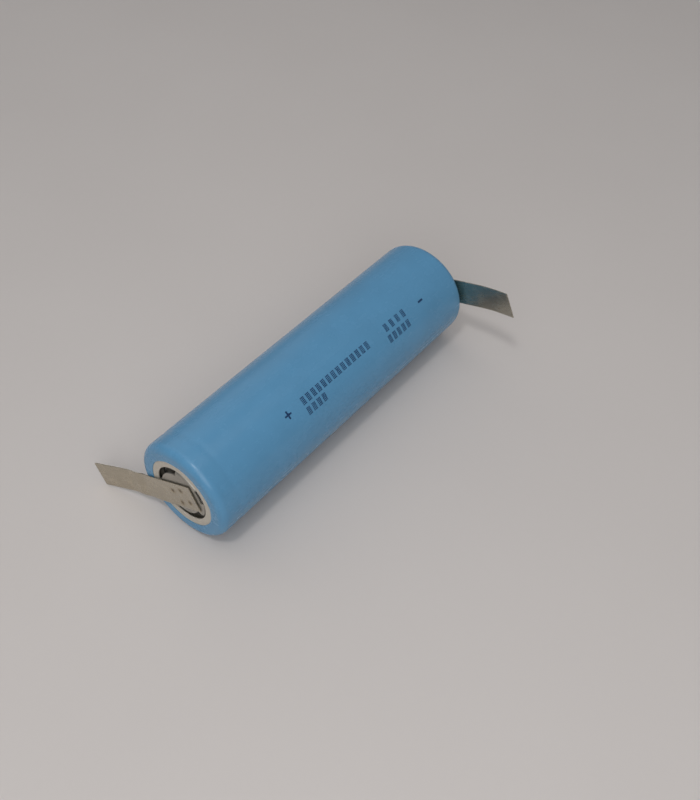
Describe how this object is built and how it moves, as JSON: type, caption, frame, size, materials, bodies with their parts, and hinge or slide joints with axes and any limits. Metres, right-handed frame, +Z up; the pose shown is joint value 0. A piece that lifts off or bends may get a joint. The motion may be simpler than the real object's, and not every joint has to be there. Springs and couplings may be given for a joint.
{
  "type": "cylindrical battery cell",
  "caption": "Cylindrical lithium-ion cell in a heat-shrink sleeve, lying on its side, with a bendable nickel strip spot-welded to each end for wiring it into a pack.",
  "frame": {"origin": "on the surface it lies on, under the middle of its bounding box", "axes": "+X along the cell towards the positive end, +Z up"},
  "size_m": [0.0676, 0.0392, 0.0184],
  "materials": {
    "sleeve_film": "satin heat-shrink film",
    "ring_paper": "matt",
    "can_steel": "nickel-plated, satin",
    "gasket_polymer": "translucent white",
    "cap_steel": "nickel-plated, satin",
    "limiter_composite": "matt, dark",
    "vent_aluminium": "pressed",
    "diaphragm_aluminium": "pressed",
    "breaker_polymer": "matt",
    "breaker_aluminium": "pressed",
    "lead_aluminium": "rolled",
    "upper_insulator_film": "matt",
    "inner_separator_film": "matt, microporous",
    "anode_coating": "graphite coating",
    "outer_separator_film": "matt, microporous",
    "cathode_coating": "oxide coating",
    "tape_film": "satin film",
    "pin_steel": "satin",
    "lower_insulator_film": "matt",
    "lead_nickel": "rolled nickel",
    "positive_welded_nickel": "rolled nickel, satin",
    "positive_free_nickel": "rolled nickel, satin",
    "negative_welded_nickel": "rolled nickel, satin",
    "negative_free_nickel": "rolled nickel, satin"
  },
  "bodies": {
    "cell": {"shrink_sleeve": "sleeve_film", "top_insulating_ring": "ring_paper", "steel_can": "can_steel", "crimp_gasket": "gasket_polymer", "positive_cap": "cap_steel", "current_limiter_ring": "limiter_composite", "vent_disc": "vent_aluminium", "breaker_insulator": "breaker_polymer", "breaker_plate": "breaker_aluminium", "cathode_lead": "lead_aluminium", "upper_insulator": "upper_insulator_film", "inner_separator": "inner_separator_film", "anode_sheet": "anode_coating", "outer_separator": "outer_separator_film", "cathode_sheet": "cathode_coating", "closing_tape": "tape_film", "centre_pin": "pin_steel", "lower_insulator": "lower_insulator_film", "anode_lead": "lead_nickel", "positive_strip_welded_leg": "positive_welded_nickel", "negative_strip_welded_leg": "negative_welded_nickel"},
    "diaphragm": {"vent_diaphragm": "diaphragm_aluminium"},
    "positive_tail": {"positive_strip_free_leg": "positive_free_nickel"},
    "negative_tail": {"negative_strip_free_leg": "negative_free_nickel"}
  },
  "joints": [
    {"name": "positive_strip_bend", "type": "hinge", "parent": "cell", "child": "positive_tail", "pos_m": [0.03155, -0.00948, 0.0048], "axis": [0, -0.342, 0.9397], "range_deg": [-102, 77]},
    {"name": "negative_strip_bend", "type": "hinge", "parent": "cell", "child": "negative_tail", "pos_m": [-0.03371, 0.0084, 0.0122], "axis": [0, -0.309, 0.9511], "range_deg": [-83, 96]},
    {"name": "vent_snap", "type": "slide", "parent": "cell", "child": "diaphragm", "axis": [1, 0, 0], "range_m": [0, 0.0006]}
  ]
}
